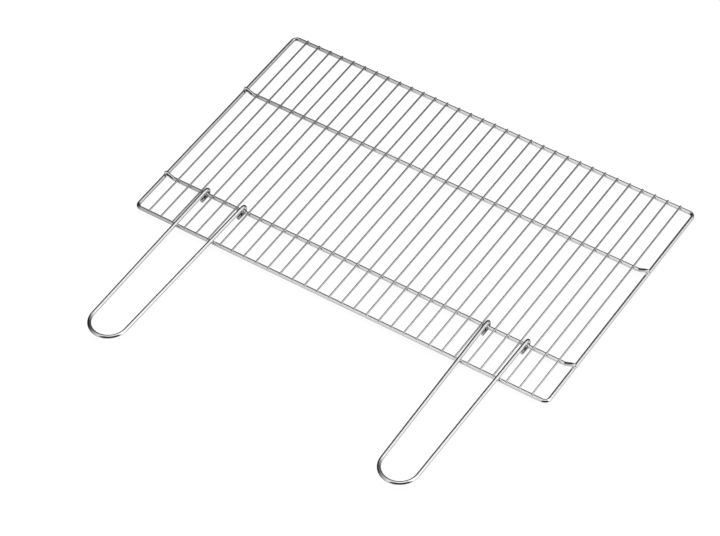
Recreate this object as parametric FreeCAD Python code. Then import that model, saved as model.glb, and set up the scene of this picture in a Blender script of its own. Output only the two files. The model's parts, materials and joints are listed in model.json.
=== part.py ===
"""Folding camp grill: a chromed wire grate with two fold-over handles.

Millimetres, +Z up, +X along the grate's long side, handles towards -Y.
The origin is the centre of the grate on the plane of the frame's underside.
"""

import FreeCAD, Part
import math
import os

Vector = FreeCAD.Vector

# Driving dimensions
GRATE_LENGTH = 670.0        # outside of the frame, along X
GRATE_DEPTH = 400.0         # outside of the frame, along Y
BAR_D = 5.5                 # frame, cross bars and handles
ROD_D = 2.5                 # grid rods
CORNER_R = 7.5              # frame corner, at the wire's centre
ROD_COUNT = 32
ROD_PITCH = 20.0
REAR_CROSS_Y = 68.6
FRONT_CROSS_Y = -127.3      # this bar is also the handles' hinge
HANDLE_REACH = 292.0        # hinge axis to the outermost point of the bend
BEND_R = 27.3               # handle's end bend
HOOK_SPREAD = 62.0          # between the two hooks of one handle
HOOK_SLACK = 1.5            # straight run past the hinge bar before the hook turns
HOOK_TAIL = 10.8            # wire end under each leg, in front of the hinge axis
HANDLES = {                 # centre of the hooks, centre of the end bend (X)
    "left_handle": (-232.8, -235.1),
    "right_handle": (226.7, 229.0),
}

# Joints between the wires
ROD_SINK = 0.35             # rod pressed into a bar by the spot weld
BAR_SINK = 0.4              # cross bar pressed into a side wire
HINGE_GAP = 0.08            # between a hook's inside and the hinge bar
END_SHORT = 2.0             # cross bar short of the side wire's outside
ROD_SHORT = 1.0             # rod short of the frame's outside at both ends

# Step up at each end of a cross bar
STEP_R = 8.0
STEP_ANGLE = math.radians(25)
STEP_LEVEL = 1.0            # level part on the side wire, inwards of its centre

BAR_R = BAR_D / 2
ROD_R = ROD_D / 2
BAR_Z = BAR_R
ROD_Z = BAR_Z + BAR_R + ROD_R - ROD_SINK
STEP_RISE = BAR_D - BAR_SINK
HOOK_R = BAR_D + HINGE_GAP
SIDE_X = GRATE_LENGTH / 2 - BAR_R
END_Y = GRATE_DEPTH / 2 - BAR_R


def line(start, end):
    return Part.LineSegment(start, end).toShape()


def arc(start, middle, end):
    return Part.Arc(start, middle, end).toShape()


def sweep(edges, diameter):
    """Round wire along a chain of tangent edges."""
    path = Part.Wire(edges)
    first = path.Edges[0]
    start = first.valueAt(first.FirstParameter)
    section = Part.Circle(start, first.tangentAt(first.FirstParameter), diameter / 2)
    return path.makePipeShell([Part.Wire([section.toShape()])], True, False)


def straight(start, end, diameter):
    """Straight piece of round wire."""
    run = end - start
    return Part.makeCylinder(diameter / 2, run.Length, start, run)


def corner(centre, turn):
    """Quarter bend of the frame wire."""
    bend = Part.makeTorus(CORNER_R, BAR_R, Vector(), Vector(0, 0, 1), -180, 180, 90)
    bend.rotate(Vector(), Vector(0, 0, 1), turn)
    bend.translate(centre)
    return bend


def perimeter_frame():
    """Rectangle of heavy wire with four small bends, welded end to end."""
    x = SIDE_X - CORNER_R
    y = END_Y - CORNER_R
    corners = [Vector(x, y, BAR_Z), Vector(-x, y, BAR_Z), Vector(-x, -y, BAR_Z), Vector(x, -y, BAR_Z)]
    outwards = [Vector(0, 1, 0), Vector(-1, 0, 0), Vector(0, -1, 0), Vector(1, 0, 0)]
    pieces = []
    for i, centre in enumerate(corners):
        shift = outwards[i] * CORNER_R
        pieces.append(corner(centre, 90 * i))
        pieces.append(straight(centre + shift, corners[(i + 1) % 4] + shift, BAR_D))
    return pieces[0].multiFuse(pieces[1:])


def step_edges(y, side):
    """Cross bar's end on one side (+1 right, -1 left), from its tip inwards."""
    sin_a = math.sin(STEP_ANGLE)
    cos_a = math.cos(STEP_ANGLE)
    half = STEP_ANGLE / 2
    slope = (STEP_RISE - 2 * STEP_R * (1 - cos_a)) / sin_a
    top = BAR_Z + STEP_RISE
    x = SIDE_X - STEP_LEVEL

    def at(inwards, height):
        return Vector(side * (x - inwards), y, height)

    bend_end = at(STEP_R * sin_a, top - STEP_R * (1 - cos_a))
    bend_middle = at(STEP_R * math.sin(half), top - STEP_R * (1 - math.cos(half)))
    foot = STEP_R * sin_a + slope * cos_a
    foot_start = at(foot, BAR_Z + STEP_R * (1 - cos_a))
    foot_middle = at(foot + STEP_R * (sin_a - math.sin(half)), BAR_Z + STEP_R * (1 - math.cos(half)))
    foot_end = at(foot + STEP_R * sin_a, BAR_Z)
    tip = Vector(side * (SIDE_X + BAR_R - END_SHORT), y, top)
    return [
        line(tip, at(0, top)),
        arc(at(0, top), bend_middle, bend_end),
        line(bend_end, foot_start),
        arc(foot_start, foot_middle, foot_end),
    ], foot_end


def cross_bar(y, frame):
    """Heavy bar level with the frame, its ends stepped up onto the side wires."""
    left, left_foot = step_edges(y, -1)
    right, right_foot = step_edges(y, 1)
    right = [edge.reversed() for edge in reversed(right)]
    bar = sweep(left + [line(left_foot, right_foot)] + right, BAR_D)
    return bar.cut(frame)


def grid_rod(index, bars):
    """Thin rod across all four bars, saddled into each."""
    x = (index - (ROD_COUNT - 1) / 2) * ROD_PITCH
    reach = Vector(0, GRATE_DEPTH / 2 - ROD_SHORT, 0)
    middle = Vector(x, 0, ROD_Z)
    return straight(middle - reach, middle + reach, ROD_D).cut(bars)


def tangent_point(outside, centre, side):
    """Where a line from a point meets the end bend's circle on its left (-1) or right (+1)."""
    reach = outside - centre
    swing = -side * math.acos(BEND_R / reach.Length)
    spoke = Vector(
        reach.x * math.cos(swing) - reach.y * math.sin(swing),
        reach.x * math.sin(swing) + reach.y * math.cos(swing),
        0,
    )
    return centre + spoke.normalize() * BEND_R


def leg_edges(over_bar, bend_centre, side):
    """One leg from its cut end round the hinge bar to the end bend, and the point it ends at."""
    bend_start = tangent_point(over_bar, bend_centre, side)
    along = (over_bar - bend_start).normalize()
    hook_top = over_bar + along * HOOK_SLACK
    hook_back = hook_top + along * HOOK_R - Vector(0, 0, HOOK_R)
    hook_foot = hook_top - Vector(0, 0, 2 * HOOK_R)
    cut_end = hook_foot - along * (HOOK_SLACK + HOOK_TAIL)
    edges = [
        line(cut_end, hook_foot),
        arc(hook_foot, hook_back, hook_top),
        line(hook_top, bend_start),
    ]
    return edges, bend_start


def handle(hook_x, bend_x):
    """U of heavy wire: two legs, each hooked over, behind and under the front cross bar."""
    over_bar = Vector(hook_x, FRONT_CROSS_Y, BAR_Z + HOOK_R)
    half_spread = Vector(HOOK_SPREAD / 2, 0, 0)
    bend_centre = Vector(bend_x, FRONT_CROSS_Y - HANDLE_REACH + BEND_R, BAR_Z + HOOK_R)
    left_leg, left_start = leg_edges(over_bar - half_spread, bend_centre, -1)
    right_leg, right_start = leg_edges(over_bar + half_spread, bend_centre, 1)
    bend = arc(left_start, bend_centre - Vector(0, BEND_R, 0), right_start)
    right_leg = [edge.reversed() for edge in reversed(right_leg)]
    return sweep(left_leg + [bend] + right_leg, BAR_D)


def build():
    """Every node's solid by name."""
    frame = perimeter_frame()
    rear = cross_bar(REAR_CROSS_Y, frame)
    front = cross_bar(FRONT_CROSS_Y, frame)
    bars = Part.makeCompound([frame, rear, front])
    nodes = {"perimeter_frame": frame, "rear_cross_bar": rear, "front_cross_bar": front}
    for index in range(ROD_COUNT):
        nodes[f"grid_rod_{index + 1:02d}"] = grid_rod(index, bars)
    for name, (hook_x, bend_x) in HANDLES.items():
        nodes[name] = handle(hook_x, bend_x)
    return nodes


os.makedirs("parts", exist_ok=True)
for name, shape in build().items():
    solid = shape.Solids[0]
    if len(shape.Solids) != 1 or not solid.isValid():
        raise ValueError(f"{name} is not one valid solid")
    solid.exportStep(f"parts/{name}.step")
    print(f"{name}: {solid.Volume:.1f} mm3")
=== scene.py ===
"""Folding camp grill: smooth chromed wires with spot welds, in a plain white studio. Metres."""
import json
import math
import random

import bmesh
import bpy
import numpy as np
from mathutils import Matrix, Vector


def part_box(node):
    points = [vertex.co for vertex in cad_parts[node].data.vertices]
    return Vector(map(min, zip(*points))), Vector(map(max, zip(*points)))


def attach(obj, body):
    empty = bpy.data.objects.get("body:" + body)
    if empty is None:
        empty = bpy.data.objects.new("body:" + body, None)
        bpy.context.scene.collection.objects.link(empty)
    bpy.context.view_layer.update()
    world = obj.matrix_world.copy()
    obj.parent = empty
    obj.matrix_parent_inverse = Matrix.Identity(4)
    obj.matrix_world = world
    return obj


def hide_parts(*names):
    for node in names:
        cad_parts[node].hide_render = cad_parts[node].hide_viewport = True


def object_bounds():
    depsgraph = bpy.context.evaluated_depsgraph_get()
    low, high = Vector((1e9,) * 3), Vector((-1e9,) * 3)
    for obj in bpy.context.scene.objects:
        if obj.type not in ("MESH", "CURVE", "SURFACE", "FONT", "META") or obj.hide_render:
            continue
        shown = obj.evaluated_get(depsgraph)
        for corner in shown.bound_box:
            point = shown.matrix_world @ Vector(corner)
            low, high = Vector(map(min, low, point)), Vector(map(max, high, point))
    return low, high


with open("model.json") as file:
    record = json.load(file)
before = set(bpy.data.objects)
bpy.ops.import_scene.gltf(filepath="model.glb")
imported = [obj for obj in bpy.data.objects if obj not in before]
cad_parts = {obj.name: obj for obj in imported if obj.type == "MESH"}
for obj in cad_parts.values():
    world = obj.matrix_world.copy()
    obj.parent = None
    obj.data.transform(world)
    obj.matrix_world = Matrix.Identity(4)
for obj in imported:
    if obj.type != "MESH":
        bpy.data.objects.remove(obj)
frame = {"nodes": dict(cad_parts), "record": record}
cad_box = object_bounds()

MM = 0.001

# Sizes taken from the frame
FRAME_LOW, FRAME_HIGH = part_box("perimeter_frame")
ROD_LOW, ROD_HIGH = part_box("grid_rod_01")
BAR_R = (FRAME_HIGH.z - FRAME_LOW.z) / 2
ROD_R = (ROD_HIGH.x - ROD_LOW.x) / 2
BAR_Z = FRAME_LOW.z + BAR_R
BAR_TOP = FRAME_HIGH.z
SIDE_X = FRAME_HIGH.x - BAR_R
END_Y = FRAME_HIGH.y - BAR_R
ROD_Z = ROD_HIGH.z - ROD_R
HANDLES = ("left_handle", "right_handle")
RODS = sorted(name for name in frame["nodes"] if name.startswith("grid_rod"))

# Bends, the same as the model's
CORNER_R = 7.5 * MM
STEP_R = 8 * MM
STEP_ANGLE = math.radians(25)
STEP_LEVEL = 1.0 * MM
HOOK_R = 5.58 * MM
HOOK_SLACK = 1.5 * MM
HOOK_TAIL = 10.8 * MM
HOOK_SPREAD = 62 * MM
BEND_R = 27.3 * MM
HOOK_X = {"left_handle": -232.8 * MM, "right_handle": 226.7 * MM}
BEND_X = {"left_handle": -235.1 * MM, "right_handle": 229.0 * MM}

# Wire surfaces
AROUND_BAR = 24             # points round a heavy wire
AROUND_ROD = 16
RING_STEP = 5 * MM          # between the rings of a straight run
TOUCHING = 0.05 * MM        # two bends this close follow on from each other
ARC_STEP = math.radians(5)
CUT_CHAMFER = 0.35 * MM     # worn edge of a cut wire end
CUT_NARROWING = 0.8 * CUT_CHAMFER
OVAL = 0.08                 # how much a tight bend flattens the wire
WAVER = 0.06 * MM           # how far a drawn rod wanders off straight
WAVER_WAVES = (2, 3, 5)     # along one rod
WAVER_SHARE = (0.3, 1.0)    # random part of each wave's size

# Weld beads: half sizes, centres below the top of the lower wire, and facets
ROD_BEAD = (1.9 * MM, 1.7 * MM, 0.5 * MM)
ROD_BEAD_SINK = 0.1 * MM
SIDE_BEAD = (2.6 * MM, 2.8 * MM, 0.7 * MM)
SIDE_BEAD_SINK = 0.15 * MM
BEAD_SPREAD = 0.12          # how far a bead's size strays
BEAD_LUMPS = (0.07, 0.05)   # two-fold and three-fold unevenness round a bead
BEAD_ROWS = 8
BEAD_COLUMNS = 16

# Plating: noise scales, and strengths and depths of the relief
NOISE_MIDDLE = (0.3, 0.7)   # where nearly all of a noise lies
DIE_LINES = 5000
DIE_LINES_STRENGTH = 0.25
DIE_LINES_DEPTH = 0.01 * MM
DIE_LINES_STRETCH = 0.02    # scale along the wire over the scale round it
CLOUD = 140
RIPPLE = 320
RIPPLE_STRENGTH = 0.35
RIPPLE_DEPTH = 0.25 * MM
BRIGHTEST = 0.92            # no plating reflects more than this

# Painted shade on the hooks' ends, where the tail lies under the leg and the hinge bar
HOOK_SHADE_LENGTH = 28 * MM       # shaded stretch, from the cut end
HOOK_SHADE_EDGE = 0.5             # how much the cloud breaks up its edge
HOOK_SHADE_SHARE = ((0, 0.45), (0.25, 0.85), (0.7, 1.0), (0.95, 0.0))
HOOK_SHADE_COLOUR = (0.14, 0.14, 0.135)

# Painted light standing in for a nearby lamp: colour brightness as powers of e, along X and Y per metre,
# and at the origin
ROD_PAINTED_LIGHT = (1.0, -1.75, 0.0)
BAR_PAINTED_LIGHT = (1.9, -0.3, 0.25)
HANDLE_PAINTED_LIGHT = (0.3, 0.0, 0.0)


# ---------------------------------------------------------------- wire paths

def fillet(before, corner, after, radius):
    """Points of the arc that rounds one corner of a route."""
    into = (corner - before).normalized()
    out = (after - corner).normalized()
    turn = into.angle(out)
    reach = radius * math.tan(turn / 2)
    start = corner - into * reach
    inwards = (out - into * into.dot(out)).normalized()
    count = max(2, round(turn / ARC_STEP))
    points = []
    for i in range(count + 1):
        a = turn * i / count
        points.append(start + into * radius * math.sin(a) + inwards * radius * (1 - math.cos(a)))
    return points


def run(start, end):
    """Evenly spaced points between two points, without either."""
    count = max(1, round((end - start).length / RING_STEP))
    return [start.lerp(end, i / count) for i in range(1, count)]


def route(corners, radii):
    """Open path through rounded corners; radii has one value for each inner corner."""
    path = [corners[0]]
    for i, radius in enumerate(radii):
        arc = fillet(corners[i], corners[i + 1], corners[i + 2], radius)
        if (arc[0] - path[-1]).length < TOUCHING:
            arc = arc[1:]
        path += run(path[-1], arc[0]) + arc
    return path + run(path[-1], corners[-1]) + [corners[-1]]


def loop(corners, radius):
    """Closed path round equally rounded corners."""
    path = []
    count = len(corners)
    for i in range(count):
        arc = fillet(corners[i - 1], corners[i], corners[(i + 1) % count], radius)
        if path:
            path += run(path[-1], arc[0])
        path += arc
    return path + run(path[-1], path[0])


# ---------------------------------------------------------------- wire meshes

def rings_of(path, radius, closed):
    """For each path point its place, two directions across the wire, and the flattening there."""
    points = np.array([tuple(p) for p in path])
    ahead = np.roll(points, -1, 0) - points
    behind = points - np.roll(points, 1, 0)
    if not closed:
        ahead[-1] = behind[-1]
        behind[0] = ahead[0]
    ahead_unit = ahead / np.linalg.norm(ahead, axis=1)[:, None]
    behind_unit = behind / np.linalg.norm(behind, axis=1)[:, None]
    tangent = ahead_unit + behind_unit
    tangent /= np.linalg.norm(tangent, axis=1)[:, None]
    span = (np.linalg.norm(ahead, axis=1) + np.linalg.norm(behind, axis=1)) / 2
    curl = (ahead_unit - behind_unit) / span[:, None] * radius
    side = np.cross(tangent[0], (0, 0, 1) if abs(tangent[0][2]) < 0.9 else (1, 0, 0))
    sides = []
    for t in tangent:
        side = side - t * side.dot(t)
        side /= np.linalg.norm(side)
        sides.append(side)
    sides = np.array(sides)
    return points, sides, np.cross(tangent, sides), curl


def soften(values, closed, times=2):
    """Running average along a path."""
    for _ in range(times):
        before = np.roll(values, 1, 0)
        after = np.roll(values, -1, 0)
        if not closed:
            before[0] = values[0]
            after[-1] = values[-1]
        values = (before + 2 * values + after) / 4
    return values


def chamfered(path, radius):
    """Path with the extra rings of a cut end at both ends, and the radius at every point."""
    first = (path[1] - path[0]).normalized() * CUT_CHAMFER
    last = (path[-2] - path[-1]).normalized() * CUT_CHAMFER
    path = [path[0], path[0] + first] + path[1:-1] + [path[-1] + last, path[-1]]
    radii = np.full(len(path), radius)
    radii[[0, -1]] -= CUT_NARROWING
    return path, radii


def wire(name, path, radius, around=AROUND_BAR, closed=False, waver=0.0, seed=0):
    """Round wire swept along a path, flattened a little where it bends, with UV maps in metres."""
    radii = np.full(len(path), radius)
    if not closed:
        path, radii = chamfered(path, radius)
    points, across, up, curl = rings_of(path, radius, closed)
    curl = soften(curl, closed)
    bend = np.linalg.norm(curl, axis=1)
    inwards = curl / np.maximum(bend, 1e-9)[:, None]
    lengths = np.r_[0, np.cumsum(np.linalg.norm(np.diff(points, axis=0), axis=1))]
    points = points + wander(lengths, across, up, waver, seed)
    count = len(points)
    verts = []
    for i in range(count):
        for k in range(around):
            a = 2 * math.pi * k / around
            spoke = across[i] * math.cos(a) + up[i] * math.sin(a)
            depth = spoke.dot(inwards[i])
            flat = spoke - inwards[i] * depth * OVAL * bend[i]
            verts.append(points[i] + flat * radii[i])
    mesh = bpy.data.meshes.new(name)
    mesh.from_pydata(verts, [], wire_faces(count, around, closed))
    mesh.shade_smooth()
    wire_uv(mesh, lengths, around, radius, closed)
    piece = bpy.data.objects.new(name, mesh)
    bpy.context.scene.collection.objects.link(piece)
    if not closed:
        sharpen_cut_ends(mesh, count, around)
    return piece


def wander(lengths, across, up, size, seed):
    """Small smooth sideways drift of a drawn wire, none at its ends."""
    rng = random.Random(seed)
    total = lengths[-1]
    drift = np.zeros((len(lengths), 3))
    for direction in (across, up):
        for waves in WAVER_WAVES:
            phase = rng.uniform(0, 2 * math.pi)
            share = size * rng.uniform(*WAVER_SHARE) / waves ** 0.5
            drift += direction * (share * np.sin(2 * math.pi * waves * lengths / total + phase))[:, None]
    return drift * np.sin(math.pi * lengths / total)[:, None]


def wire_faces(count, around, closed):
    """Quads between neighbouring rings, and a flat face on each open end."""
    faces = []
    for i in range(count if closed else count - 1):
        j = (i + 1) % count
        for k in range(around):
            m = (k + 1) % around
            faces.append((i * around + k, i * around + m, j * around + m, j * around + k))
    if not closed:
        faces.append(tuple(range(around - 1, -1, -1)))
        faces.append(tuple((count - 1) * around + k for k in range(around)))
    return faces


def wire_uv(mesh, lengths, around, radius, closed):
    """Metres round the wire and along it, and in a second map along it from the nearest end."""
    layer = mesh.uv_layers.new(name="wire")
    ends = mesh.uv_layers.new(name="ends")
    girth = 2 * math.pi * radius
    values = []
    from_end = []
    for face in mesh.polygons:
        corners = [divmod(v, around) for v in face.vertices]
        wraps = max(k for _, k in corners) - min(k for _, k in corners) > 1
        closes = closed and max(i for i, _ in corners) - min(i for i, _ in corners) > 1
        for i, k in corners:
            u = girth if wraps and k == 0 else girth * k / around
            v = lengths[-1] + RING_STEP if closes and i == 0 else lengths[i]
            values += [u, v]
            from_end += [u, min(v, lengths[-1] - v)]
    layer.data.foreach_set("uv", values)
    ends.data.foreach_set("uv", from_end)


def sharpen_cut_ends(mesh, count, around):
    """Keeps the sheared end faces crisp against the round side."""
    rims = {0, 1, count - 2, count - 1}
    for edge in mesh.edges:
        rows = {v // around for v in edge.vertices}
        if len(rows) == 1 and rows <= rims:
            edge.use_edge_sharp = True


# ---------------------------------------------------------------- the grate

def frame_wire():
    """The bent rectangle."""
    corners = [
        Vector((x * SIDE_X, y * END_Y, BAR_Z)) for x, y in ((1, 1), (-1, 1), (-1, -1), (1, -1))
    ]
    return wire("frame_wire", loop(corners, CORNER_R), BAR_R, closed=True)


def cross_bar_wire(node):
    """A cross bar whose two ends step up onto the side wires."""
    low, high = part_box(node)
    y = (low.y + high.y) / 2
    top = high.z - BAR_R
    rise = top - BAR_Z
    foot = SIDE_X - STEP_LEVEL - STEP_R * math.tan(STEP_ANGLE / 2)
    corners = [
        Vector((low.x, y, top)),
        Vector((-foot, y, top)),
        Vector((rise / math.tan(STEP_ANGLE) - foot, y, BAR_Z)),
    ]
    corners += [Vector((-p.x, p.y, p.z)) for p in reversed(corners)]
    return wire(node + "_wire", route(corners, [STEP_R] * 4), BAR_R)


def rod_wire(node, index):
    """One thin straight rod of the grid."""
    low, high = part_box(node)
    x = (low.x + high.x) / 2
    path = route([Vector((x, low.y, ROD_Z)), Vector((x, high.y, ROD_Z))], [])
    return wire(node + "_wire", path, ROD_R, around=AROUND_ROD, waver=WAVER, seed=index)


# ---------------------------------------------------------------- handles

def leg_corners(hinge, hook_x, bend_x, side, far_y):
    """Corners of one leg's route from its cut end, round the hinge bar, to the end bend."""
    z = hinge.z + HOOK_R
    over = Vector((hook_x + side * HOOK_SPREAD / 2, hinge.y, z))
    reach = over - Vector((bend_x, far_y + BEND_R, z))
    lean = math.atan2(reach.x, reach.y) - side * math.asin(BEND_R / reach.length)
    along = Vector((math.sin(lean), math.cos(lean), 0))
    behind = over + along * (HOOK_SLACK + HOOK_R)
    drop = Vector((0, 0, 2 * HOOK_R))
    far = over - along * ((over.y - far_y) / along.y)
    return [over - drop - along * HOOK_TAIL, behind - drop, behind, far]


def handle_wire(node):
    """Long U with a hook at the end of each leg."""
    bar_low, bar_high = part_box("front_cross_bar")
    hinge = Vector((0, (bar_low.y + bar_high.y) / 2, BAR_Z))
    far_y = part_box(node)[0].y + BAR_R
    left = leg_corners(hinge, HOOK_X[node], BEND_X[node], -1, far_y)
    right = leg_corners(hinge, HOOK_X[node], BEND_X[node], 1, far_y)
    radii = [HOOK_R, HOOK_R, BEND_R]
    return wire(node + "_wire", route(left + right[::-1], radii + radii[::-1]), BAR_R)


# ---------------------------------------------------------------- spot welds

def weld_beads(name, places, half, seed):
    """Low uneven beads squeezed out round spot welds, joined in one piece."""
    rng = random.Random(seed)
    verts = []
    faces = []
    for place in places:
        base = len(verts)
        size = [h * rng.uniform(1 - BEAD_SPREAD, 1 + BEAD_SPREAD) for h in half]
        phase = rng.uniform(0, 2 * math.pi)
        for i in range(BEAD_ROWS + 1):
            tilt = math.pi * i / BEAD_ROWS
            for k in range(BEAD_COLUMNS):
                a = 2 * math.pi * k / BEAD_COLUMNS
                two_fold = BEAD_LUMPS[0] * math.sin(2 * a + phase)
                three_fold = BEAD_LUMPS[1] * math.sin(3 * a - phase)
                lumpy = 1 + two_fold + three_fold
                verts.append((
                    place.x + size[0] * lumpy * math.sin(tilt) * math.cos(a),
                    place.y + size[1] * lumpy * math.sin(tilt) * math.sin(a),
                    place.z + size[2] * math.cos(tilt),
                ))
        for i in range(BEAD_ROWS):
            above = base + i * BEAD_COLUMNS
            below = above + BEAD_COLUMNS
            for k in range(BEAD_COLUMNS):
                m = (k + 1) % BEAD_COLUMNS
                faces.append((above + k, below + k, below + m, above + m))
    mesh = bpy.data.meshes.new(name)
    mesh.from_pydata(verts, [], faces)
    merge_doubles(mesh)
    mesh.shade_smooth()
    piece = bpy.data.objects.new(name, mesh)
    bpy.context.scene.collection.objects.link(piece)
    return piece


def merge_doubles(mesh):
    """Closes the poles of the beads."""
    work = bmesh.new()
    work.from_mesh(mesh)
    bmesh.ops.remove_doubles(work, verts=work.verts, dist=0.001 * MM)
    bmesh.ops.recalc_face_normals(work, faces=work.faces)
    work.to_mesh(mesh)
    work.free()


def rod_welds(name, y, seed):
    """Beads where every rod crosses one bar."""
    xs = [(low.x + high.x) / 2 for low, high in map(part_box, RODS)]
    return weld_beads(name, [Vector((x, y, BAR_TOP - ROD_BEAD_SINK)) for x in xs], ROD_BEAD, seed)


def side_welds(name, ys, seed):
    """Beads where the cross bars' ends lie on the side wires."""
    places = [Vector((x, y, BAR_TOP - SIDE_BEAD_SINK)) for x in (-SIDE_X, SIDE_X) for y in ys]
    return weld_beads(name, places, SIDE_BEAD, seed)


# ---------------------------------------------------------------- materials

def node(tree, kind, **values):
    """New shader node with its settings."""
    made = tree.nodes.new(kind)
    for key, value in values.items():
        setattr(made, key, value)
    return made


def ramp(tree, value, stops):
    """Grey ramp through pairs of position and brightness."""
    made = node(tree, "ShaderNodeValToRGB")
    elements = made.color_ramp.elements
    while len(elements) < len(stops):
        elements.new(0.5)
    for element, (position, grey) in zip(elements, stops):
        element.position = position
        element.color = (grey, grey, grey, 1)
    tree.links.new(value, made.inputs["Fac"])
    return made.outputs["Color"]


def calculate(tree, operation, *values):
    """Math node on numbers or sockets."""
    made = node(tree, "ShaderNodeMath", operation=operation)
    for socket, value in zip(made.inputs, values):
        if isinstance(value, bpy.types.NodeSocket):
            tree.links.new(value, socket)
        else:
            socket.default_value = value
    return made.outputs["Value"]


def noise(tree, vector, scale, detail):
    made = node(tree, "ShaderNodeTexNoise")
    made.inputs["Scale"].default_value = scale
    made.inputs["Detail"].default_value = detail
    tree.links.new(vector, made.inputs["Vector"])
    return made.outputs["Fac"]


def spread(tree, value, low, high):
    """Maps the middle of a noise to a range."""
    made = node(tree, "ShaderNodeMapRange")
    made.inputs["From Min"].default_value = NOISE_MIDDLE[0]
    made.inputs["From Max"].default_value = NOISE_MIDDLE[1]
    made.inputs["To Min"].default_value = low
    made.inputs["To Max"].default_value = high
    tree.links.new(value, made.inputs["Value"])
    return made.outputs["Result"]


def blend_colours(tree, factor, first, second):
    """Mix of two colours; the first may be a socket."""
    made = node(tree, "ShaderNodeMix", data_type="RGBA")
    if isinstance(first, bpy.types.NodeSocket):
        tree.links.new(first, made.inputs["A"])
    else:
        made.inputs["A"].default_value = (*first, 1)
    made.inputs["B"].default_value = (*second, 1)
    tree.links.new(factor, made.inputs["Factor"])
    return made.outputs["Result"]


def hook_end_painted_shade(tree, colour, cloud):
    """Painted shade: darkens the last stretch of a wire, where a hook's tail lies under its leg and the
    hinge bar.
    """
    split = node(tree, "ShaderNodeSeparateXYZ")
    tree.links.new(node(tree, "ShaderNodeUVMap", uv_map="ends").outputs["UV"], split.inputs["Vector"])
    along = calculate(tree, "DIVIDE", split.outputs["Y"], HOOK_SHADE_LENGTH)
    uneven = calculate(tree, "MULTIPLY_ADD", cloud, HOOK_SHADE_EDGE, -HOOK_SHADE_EDGE / 2)
    share = ramp(tree, calculate(tree, "ADD", along, uneven), HOOK_SHADE_SHARE)
    return blend_colours(tree, share, colour, HOOK_SHADE_COLOUR)


def painted_light_gradient(tree, colour, rise, most):
    """Painted light: colour darker towards one corner of the object and brighter towards the opposite
    one, standing in for a nearby lamp.
    """
    across = node(tree, "ShaderNodeVectorMath", operation="DOT_PRODUCT")
    across.inputs[1].default_value = (rise[0], rise[1], 0)
    tree.links.new(node(tree, "ShaderNodeTexCoord").outputs["Object"], across.inputs[0])
    level = calculate(tree, "ADD", across.outputs["Value"], rise[2])
    share = calculate(tree, "MINIMUM", calculate(tree, "EXPONENT", level), most)
    scaled = node(tree, "ShaderNodeVectorMath", operation="SCALE")
    tree.links.new(colour, scaled.inputs["Vector"])
    tree.links.new(share, scaled.inputs["Scale"])
    return scaled.outputs["Vector"]


def bump(tree, height, strength, depth):
    made = node(tree, "ShaderNodeBump")
    made.inputs["Strength"].default_value = strength
    made.inputs["Distance"].default_value = depth
    tree.links.new(height, made.inputs["Height"])
    return made


def relief(tree, fine, coarse):
    """Shallow bump: fine lines on top of a long soft ripple."""
    low = bump(tree, coarse, RIPPLE_STRENGTH, RIPPLE_DEPTH)
    top = bump(tree, fine, DIE_LINES_STRENGTH, DIE_LINES_DEPTH)
    tree.links.new(low.outputs["Normal"], top.inputs["Normal"])
    return top.outputs["Normal"]


def chrome(name, light, dull, gloss, rise, grain=True, hook_shade=False):
    """Bright plating over drawn wire: fine die lines along it, faint cloudiness and uneven gloss."""
    material = bpy.data.materials.new(name)
    material.use_nodes = True
    tree = material.node_tree
    shader = tree.nodes["Principled BSDF"]
    shader.inputs["Metallic"].default_value = 1.0
    if grain:
        place = node(tree, "ShaderNodeUVMap", uv_map="wire").outputs["UV"]
    else:
        place = node(tree, "ShaderNodeTexCoord").outputs["Object"]
    stretch = node(tree, "ShaderNodeMapping")
    stretch.inputs["Scale"].default_value = (1.0, DIE_LINES_STRETCH if grain else 1.0, 1.0)
    tree.links.new(place, stretch.inputs["Vector"])
    die_lines = noise(tree, stretch.outputs["Vector"], DIE_LINES, 3)
    cloud = noise(tree, place, CLOUD, 4)
    ripple = noise(tree, place, RIPPLE, 2)
    colour = blend_colours(tree, spread(tree, cloud, 0, 1), light, dull)
    # Painted light: colour brightened and darkened across the object for a nearby lamp
    colour = painted_light_gradient(tree, colour, rise, BRIGHTEST / max(light))
    # Painted shade on the hook's tail, under the leg and the hinge bar
    if hook_shade:
        colour = hook_end_painted_shade(tree, colour, cloud)
    tree.links.new(colour, shader.inputs["Base Color"])
    tree.links.new(spread(tree, cloud, *gloss), shader.inputs["Roughness"])
    tree.links.new(relief(tree, die_lines, ripple), shader.inputs["Normal"])
    return material


def finish_piece(piece, material, slot, *nodes):
    """Gives a piece its material and its body, and hides the CAD nodes it stands for."""
    piece.data.materials.append(material)
    bodies = frame["record"]["behaviour"]["bodies"]
    body = next((b for b, members in bodies.items() if nodes and nodes[0] in members), "grate")
    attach(piece, body)
    if nodes:
        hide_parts(*nodes)


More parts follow.
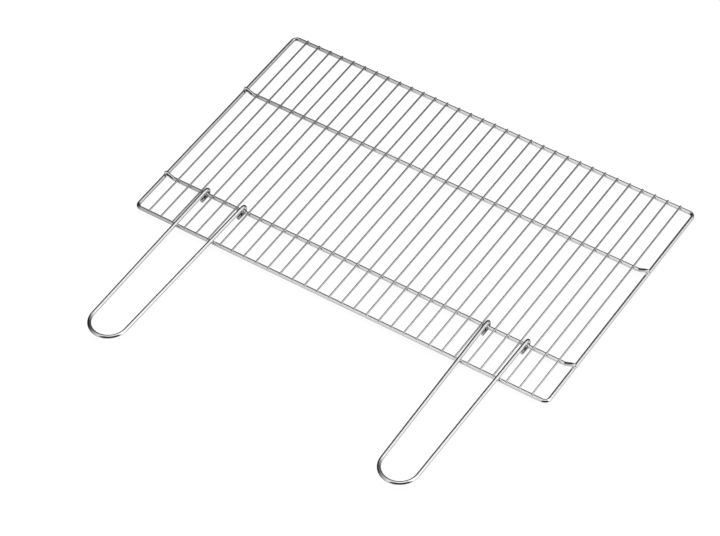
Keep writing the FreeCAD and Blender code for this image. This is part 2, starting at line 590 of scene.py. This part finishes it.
def build_grill():
    """Every wire and weld of the object."""
    bar_chrome = chrome("bar_chrome", (0.88, 0.88, 0.89), (0.82, 0.82, 0.82), (0.04, 0.10), BAR_PAINTED_LIGHT)
    rod_chrome = chrome("rod_chrome", (0.47, 0.47, 0.48), (0.39, 0.39, 0.39), (0.22, 0.34), ROD_PAINTED_LIGHT)
    handle_chrome = chrome(
        "handle_chrome", (0.90, 0.90, 0.91), (0.84, 0.84, 0.84), (0.03, 0.08), HANDLE_PAINTED_LIGHT, hook_shade=True
    )
    weld_chrome = chrome(
        "weld_chrome", (0.74, 0.74, 0.73), (0.58, 0.57, 0.55), (0.16, 0.32), BAR_PAINTED_LIGHT, grain=False
    )
    finish_piece(frame_wire(), bar_chrome, "frame_chrome", "perimeter_frame")
    bar_y = {"front": -END_Y, "rear": END_Y}
    for bar in ("front_cross_bar", "rear_cross_bar"):
        finish_piece(cross_bar_wire(bar), bar_chrome, "frame_chrome", bar)
        low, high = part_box(bar)
        bar_y[bar] = (low.y + high.y) / 2
    for index, rod in enumerate(RODS):
        finish_piece(rod_wire(rod, index), rod_chrome, "rod_chrome", rod)
    for handle in HANDLES:
        finish_piece(handle_wire(handle), handle_chrome, "handle_chrome", handle)
    for seed, (bar, y) in enumerate(bar_y.items()):
        finish_piece(rod_welds(bar + "_rod_welds", y, seed), weld_chrome, "rod_chrome")
    ends = side_welds("side_welds", [bar_y["front_cross_bar"], bar_y["rear_cross_bar"]], seed=9)
    finish_piece(ends, weld_chrome, "frame_chrome")


# ---------------------------------------------------------------- studio

AIM = Vector((-5.1, -129.2, 2.75)) * MM
CAMERA_AZIMUTH = math.radians(34.86)
CAMERA_ELEVATION = math.radians(48.23)
CAMERA_ROLL = math.radians(-2.15)
CAMERA_DISTANCE = 4.2325
CAMERA_LENS = 155.32
ROOM_R = 6.0
BACKDROP_SIDES = 96
TABLE_GREY = 0.12                   # of the light table with its lamp off
TABLE_GLOW = 0.92
OVERHEAD_D = 6.0
OVERHEAD_HEIGHT = 4
OVERHEAD_WATTS = 60

# What the chrome mirrors: the way to each wall, and its brightness by the height looked at
REAR_WALL = ((-0.75, 0.7), (-0.5, 0.05), (0.3, 0.03), (0.5, 0.1), (0.75, 0.04), (0.86, 0.9), (1, 1.05))
RIGHT_WALL = ((-1, 1.0), (-0.2, 0.7), (0.2, 1.35), (0.68, 2.3), (0.88, 1.7), (1, 1.05))
FRONT_WALL = ((-1, 1.1), (-0.2, 0.7), (0.5, 1.05), (1, 1.05))
LEFT_WALL = ((-1, 0.1), (0, 0), (0.5, 0), (0.75, 0.03), (0.88, 0.5), (1, 1.05))
WALLS = {(0, 1, 0): REAR_WALL, (1, 0, 0): RIGHT_WALL, (0, -1, 0): FRONT_WALL, (-1, 0, 0): LEFT_WALL}
GAP_AZIMUTH = math.radians(35)      # dark gap in the room, towards the front right
GAP_EDGE = (0.57, 0.77)             # cosines from its middle where it starts and is full
GAP_FOOT = (-0.76, -0.6)            # heights looked at
GAP_TOP = (0.88, 0.96)
GAP_DEPTH = 0.97
NEVER_ZERO = 0.0001                 # keeps a division safe straight up and down


def add_camera():
    """Long lens from the front right, a little rolled."""
    data = bpy.data.cameras.new("camera")
    data.sensor_width = 36
    data.lens = CAMERA_LENS
    data.clip_end = 50
    camera = bpy.data.objects.new("camera", data)
    bpy.context.scene.collection.objects.link(camera)
    flat = math.cos(CAMERA_ELEVATION)
    back = Vector((
        math.sin(CAMERA_AZIMUTH) * flat,
        -math.cos(CAMERA_AZIMUTH) * flat,
        math.sin(CAMERA_ELEVATION),
    ))
    turn = back.to_track_quat("Z", "Y").to_matrix() @ Matrix.Rotation(CAMERA_ROLL, 3, "Z")
    camera.matrix_world = Matrix.Translation(AIM + back * CAMERA_DISTANCE) @ turn.to_4x4()
    bpy.context.scene.camera = camera


def stage_piece(name, verts, faces):
    """Self-lit white piece of the studio, left out of the chrome's reflections."""
    mesh = bpy.data.meshes.new(name)
    mesh.from_pydata(verts, [], faces)
    mesh.materials.append(light_table_white())
    piece = bpy.data.objects.new(name, mesh)
    bpy.context.scene.collection.objects.link(piece)
    piece.visible_glossy = False
    return piece


def light_table_white():
    material = bpy.data.materials.new("light_table_white")
    material.use_nodes = True
    shader = material.node_tree.nodes["Principled BSDF"]
    shader.inputs["Base Color"].default_value = (TABLE_GREY, TABLE_GREY, TABLE_GREY, 1)
    shader.inputs["Roughness"].default_value = 0.9
    shader.inputs["Emission Color"].default_value = (1, 1, 1, 1)
    shader.inputs["Emission Strength"].default_value = TABLE_GLOW
    shader.inputs["Specular IOR Level"].default_value = 0.1
    return material


def add_floor():
    """Plain white light table under the hooks."""
    z = cad_box[0].z
    corners = [(x * ROOM_R, y * ROOM_R, z) for x, y in ((-1, -1), (1, -1), (1, 1), (-1, 1))]
    stage_piece("floor", corners, [(0, 1, 2, 3)])


def add_backdrop():
    """Round white wall behind the floor, seen by the camera only."""
    sides = BACKDROP_SIDES
    z = cad_box[0].z
    verts = []
    for i in range(sides):
        a = 2 * math.pi * i / sides
        foot = (ROOM_R * math.cos(a), ROOM_R * math.sin(a), z)
        verts += [foot, (foot[0], foot[1], z + 2 * ROOM_R)]
    faces = [(2 * i - 2, 2 * i - 1, 2 * i + 1, 2 * i) for i in range(1, sides)]
    faces.append((2 * sides - 2, 2 * sides - 1, 1, 0))
    wall = stage_piece("backdrop", verts, faces)
    wall.visible_shadow = False
    wall.visible_diffuse = False


def add_overhead_light():
    """Wide soft light that whitens the floor; the wires mirror the world instead."""
    data = bpy.data.lights.new("overhead", "AREA")
    data.shape = "DISK"
    data.size = OVERHEAD_D
    data.energy = OVERHEAD_WATTS
    light = bpy.data.objects.new("overhead", data)
    light.location = (0, 0, OVERHEAD_HEIGHT)
    light.visible_glossy = False
    bpy.context.scene.collection.objects.link(light)


def room_gap(tree, direction, height, level):
    """One, falling to nearly nothing in the dark gap between the front and right walls."""
    towards = node(tree, "ShaderNodeVectorMath", operation="DOT_PRODUCT")
    towards.inputs[1].default_value = (math.sin(GAP_AZIMUTH), -math.cos(GAP_AZIMUTH), 0)
    tree.links.new(direction, towards.inputs[0])
    facing = calculate(tree, "DIVIDE", towards.outputs["Value"], calculate(tree, "SQRT", level))
    across = ramp(tree, facing, [(GAP_EDGE[0], 0), (GAP_EDGE[1], 1)])
    above_foot = ramp(tree, height, [((up + 1) / 2, i) for i, up in enumerate(GAP_FOOT)])
    below_top = ramp(tree, height, [((up + 1) / 2, 1 - i) for i, up in enumerate(GAP_TOP)])
    gap = calculate(tree, "MULTIPLY", across, calculate(tree, "MULTIPLY", below_top, above_foot))
    return calculate(tree, "MULTIPLY_ADD", gap, -GAP_DEPTH, 1.0)


def add_world():
    """Four walls that the chrome mirrors, blended by the direction round the compass."""
    world = bpy.data.worlds.new("studio")
    world.use_nodes = True
    bpy.context.scene.world = world
    tree = world.node_tree
    direction = node(tree, "ShaderNodeTexCoord").outputs["Generated"]
    split = node(tree, "ShaderNodeSeparateXYZ")
    tree.links.new(direction, split.inputs["Vector"])
    z = split.outputs["Z"]
    height = calculate(tree, "MULTIPLY_ADD", z, 0.5, 0.5)
    level = calculate(tree, "SUBTRACT", 1 + NEVER_ZERO, calculate(tree, "MULTIPLY", z, z))
    light = 0.0
    for wall, stops in WALLS.items():
        towards = node(tree, "ShaderNodeVectorMath", operation="DOT_PRODUCT")
        towards.inputs[1].default_value = wall
        tree.links.new(direction, towards.inputs[0])
        facing = calculate(tree, "MAXIMUM", towards.outputs["Value"], 0.0)
        share = calculate(tree, "DIVIDE", calculate(tree, "MULTIPLY", facing, facing), level)
        seen = ramp(tree, height, [((up + 1) / 2, grey) for up, grey in stops])
        light = calculate(tree, "MULTIPLY_ADD", share, seen, light)
    light = calculate(tree, "MULTIPLY", light, room_gap(tree, direction, height, level))
    background = tree.nodes["Background"]
    background.inputs["Color"].default_value = (1, 1, 1, 1)
    tree.links.new(light, background.inputs["Strength"])


build_grill()
add_camera()
add_floor()
add_backdrop()
add_overhead_light()
add_world()
bpy.context.scene.view_settings.view_transform = "Standard"
